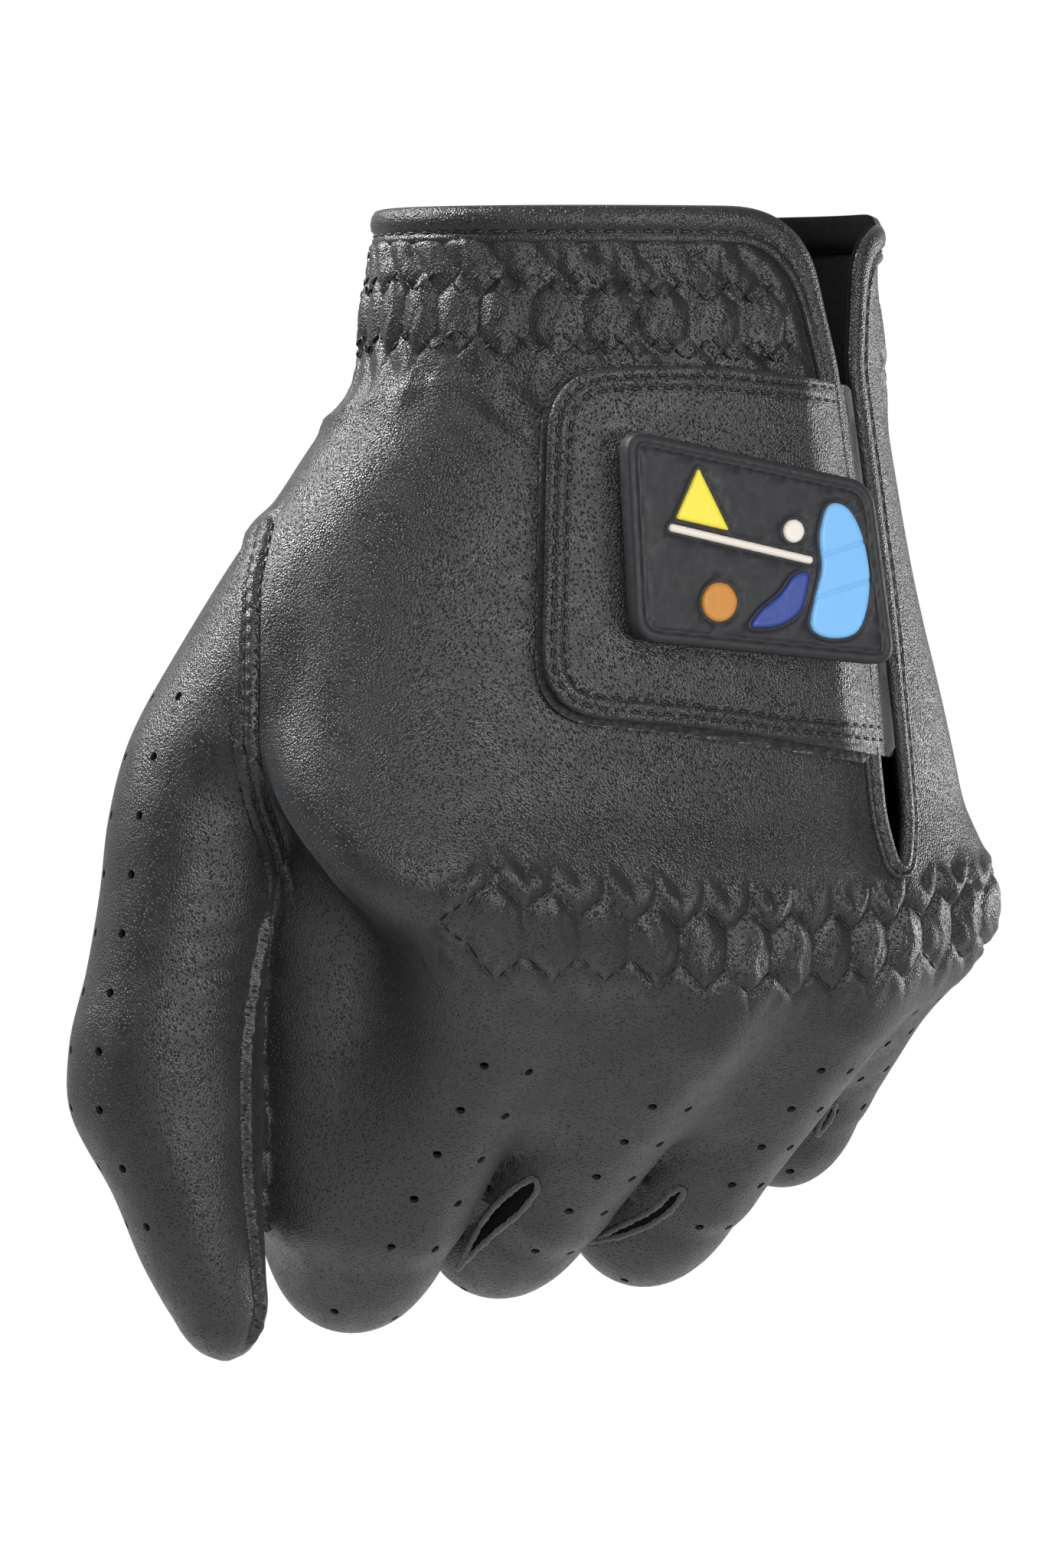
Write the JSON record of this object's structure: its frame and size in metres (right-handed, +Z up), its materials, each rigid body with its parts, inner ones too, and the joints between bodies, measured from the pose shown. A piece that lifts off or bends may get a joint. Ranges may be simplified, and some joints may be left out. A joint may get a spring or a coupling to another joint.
{
  "type": "golf glove",
  "caption": "Left-hand leather golf glove, curled as if round a club grip, with a fold-over closure tab and raised badge, gathered elastic and separately bending fingers.",
  "frame": {"origin": "centre of the wrist opening", "axes": "+Z up out of the wrist opening, -Y out of the back of the hand, +X towards the little finger"},
  "size_m": [0.1208, 0.0985, 0.1512],
  "materials": {
    "leather": "satin, fine pored grain",
    "binding_leather": "satin, rolled and stitched",
    "elastic": "matt woven elastic",
    "lining": "soft nap",
    "loop_textile": "fuzzy woven loops",
    "hook_tape": "stiff micro hooks",
    "badge_rubber": "matt moulded rubber",
    "inlay_sky": "matt coloured rubber",
    "inlay_navy": "matt coloured rubber",
    "inlay_white": "matt coloured rubber",
    "inlay_yellow": "matt coloured rubber",
    "inlay_sand": "matt coloured rubber"
  },
  "bodies": {
    "hand": {"back_panel": "leather", "palm_panel": "leather", "cuff_binding": "binding_leather", "slit_binding": "binding_leather", "wrist_elastic": "elastic", "ulnar_elastic": "elastic", "palm_elastic": "elastic", "size_label": "lining", "loop_patch": "loop_textile", "thumb_base": "leather", "knuckle_leather": "leather", "knuckle_elastic": "elastic", "palm_crease": "leather"},
    "closure_tab": {"tab_leather": "leather", "tab_backing": "lining", "hook_patch": "hook_tape", "badge_base": "badge_rubber", "badge_rim": "badge_rubber", "badge_sky": "inlay_sky", "badge_green": "inlay_navy", "badge_pole": "inlay_white", "badge_pennant": "inlay_yellow", "badge_ball": "inlay_white", "badge_sand": "inlay_sand"},
    "finger_block": {"index_back": "leather", "index_front": "leather", "middle_back": "leather", "middle_front": "leather", "ring_back": "leather", "ring_front": "leather", "little_back": "leather", "little_front": "leather", "fourchette_index_middle": "lining", "fourchette_middle_ring": "lining", "fourchette_ring_little": "lining"},
    "index_outer": {"index_elbow": "leather", "index_middle": "leather"},
    "index_end": {"index_tip_elbow": "leather", "index_tip": "leather"},
    "middle_outer": {"middle_elbow": "leather", "middle_middle": "leather"},
    "middle_end": {"middle_tip_elbow": "leather", "middle_tip": "leather"},
    "ring_outer": {"ring_elbow": "leather", "ring_middle": "leather"},
    "ring_end": {"ring_tip_elbow": "leather", "ring_tip": "leather"},
    "little_outer": {"little_elbow": "leather", "little_middle": "leather"},
    "little_end": {"little_tip_elbow": "leather", "little_tip": "leather"},
    "thumb_outer": {"thumb_elbow": "leather", "thumb_sleeve": "leather"},
    "thumb_end": {"thumb_tip_elbow": "leather", "thumb_tip": "leather"}
  },
  "joints": [
    {"name": "tab_peel", "type": "hinge", "parent": "hand", "child": "closure_tab", "pos_m": [0.03766, -0.00918, -0.04761], "axis": [-0.1236, -0.0458, 0.9913], "range_deg": [0, 100]},
    {"name": "knuckle_bend", "type": "hinge", "parent": "hand", "child": "finger_block", "pos_m": [0.0132, 0.00013, -0.09938], "axis": [0.8704, 0.4881, 0.0643], "range_deg": [-40, 0], "deforming": ["knuckle_leather", "knuckle_elastic", "palm_crease"]},
    {"name": "index_bend", "type": "hinge", "parent": "finger_block", "child": "index_outer", "pos_m": [-0.0376, 0.016, -0.1396], "axis": [0.8823, 0.4536, -0.1255], "range_deg": [-85, 0], "deforming": ["index_elbow"]},
    {"name": "index_tip_bend", "type": "hinge", "parent": "index_outer", "child": "index_end", "pos_m": [-0.04356, 0.03282, -0.12069], "axis": [0.8823, 0.4536, -0.1255], "range_deg": [-42.5, 0], "deforming": ["index_tip_elbow"]},
    {"name": "middle_bend", "type": "hinge", "parent": "finger_block", "child": "middle_outer", "pos_m": [-0.018, 0.026, -0.136], "axis": [0.8521, 0.5183, -0.0728], "range_deg": [-86, 0], "deforming": ["middle_elbow"]},
    {"name": "middle_tip_bend", "type": "hinge", "parent": "middle_outer", "child": "middle_end", "pos_m": [-0.02427, 0.03994, -0.11018], "axis": [0.8521, 0.5183, -0.0728], "range_deg": [-43, 0], "deforming": ["middle_tip_elbow"]},
    {"name": "ring_bend", "type": "hinge", "parent": "finger_block", "child": "ring_outer", "pos_m": [0.0034, 0.032, -0.135], "axis": [0.8021, 0.5968, -0.0241], "range_deg": [-84, 0], "deforming": ["ring_elbow"]},
    {"name": "ring_tip_bend", "type": "hinge", "parent": "ring_outer", "child": "ring_end", "pos_m": [-0.00617, 0.04577, -0.11258], "axis": [0.8021, 0.5968, -0.0241], "range_deg": [-42, 0], "deforming": ["ring_tip_elbow"]},
    {"name": "little_bend", "type": "hinge", "parent": "finger_block", "child": "little_outer", "pos_m": [0.0215, 0.0435, -0.1225], "axis": [0.7924, 0.606, 0.0702], "range_deg": [-78, 0], "deforming": ["little_elbow"]},
    {"name": "little_tip_bend", "type": "hinge", "parent": "little_outer", "child": "little_end", "pos_m": [0.01191, 0.05426, -0.10723], "axis": [0.7924, 0.606, 0.0702], "range_deg": [-39, 0], "deforming": ["little_tip_elbow"]},
    {"name": "thumb_swing", "type": "hinge", "parent": "hand", "child": "thumb_outer", "pos_m": [-0.0542, -0.004, -0.079], "axis": [0.1191, -0.9929, 0], "range_deg": [-25, 0], "deforming": ["thumb_elbow"]},
    {"name": "thumb_bend", "type": "hinge", "parent": "thumb_outer", "child": "thumb_end", "pos_m": [-0.0596, -0.0035, -0.1135], "axis": [0.1191, -0.9929, 0], "range_deg": [-30, 0], "deforming": ["thumb_tip_elbow"]}
  ],
  "couplings": [
    {"joint": "index_tip_bend", "follows": "index_bend", "ratio": 0.5},
    {"joint": "middle_tip_bend", "follows": "middle_bend", "ratio": 0.5},
    {"joint": "ring_tip_bend", "follows": "ring_bend", "ratio": 0.5},
    {"joint": "little_tip_bend", "follows": "little_bend", "ratio": 0.5}
  ]
}
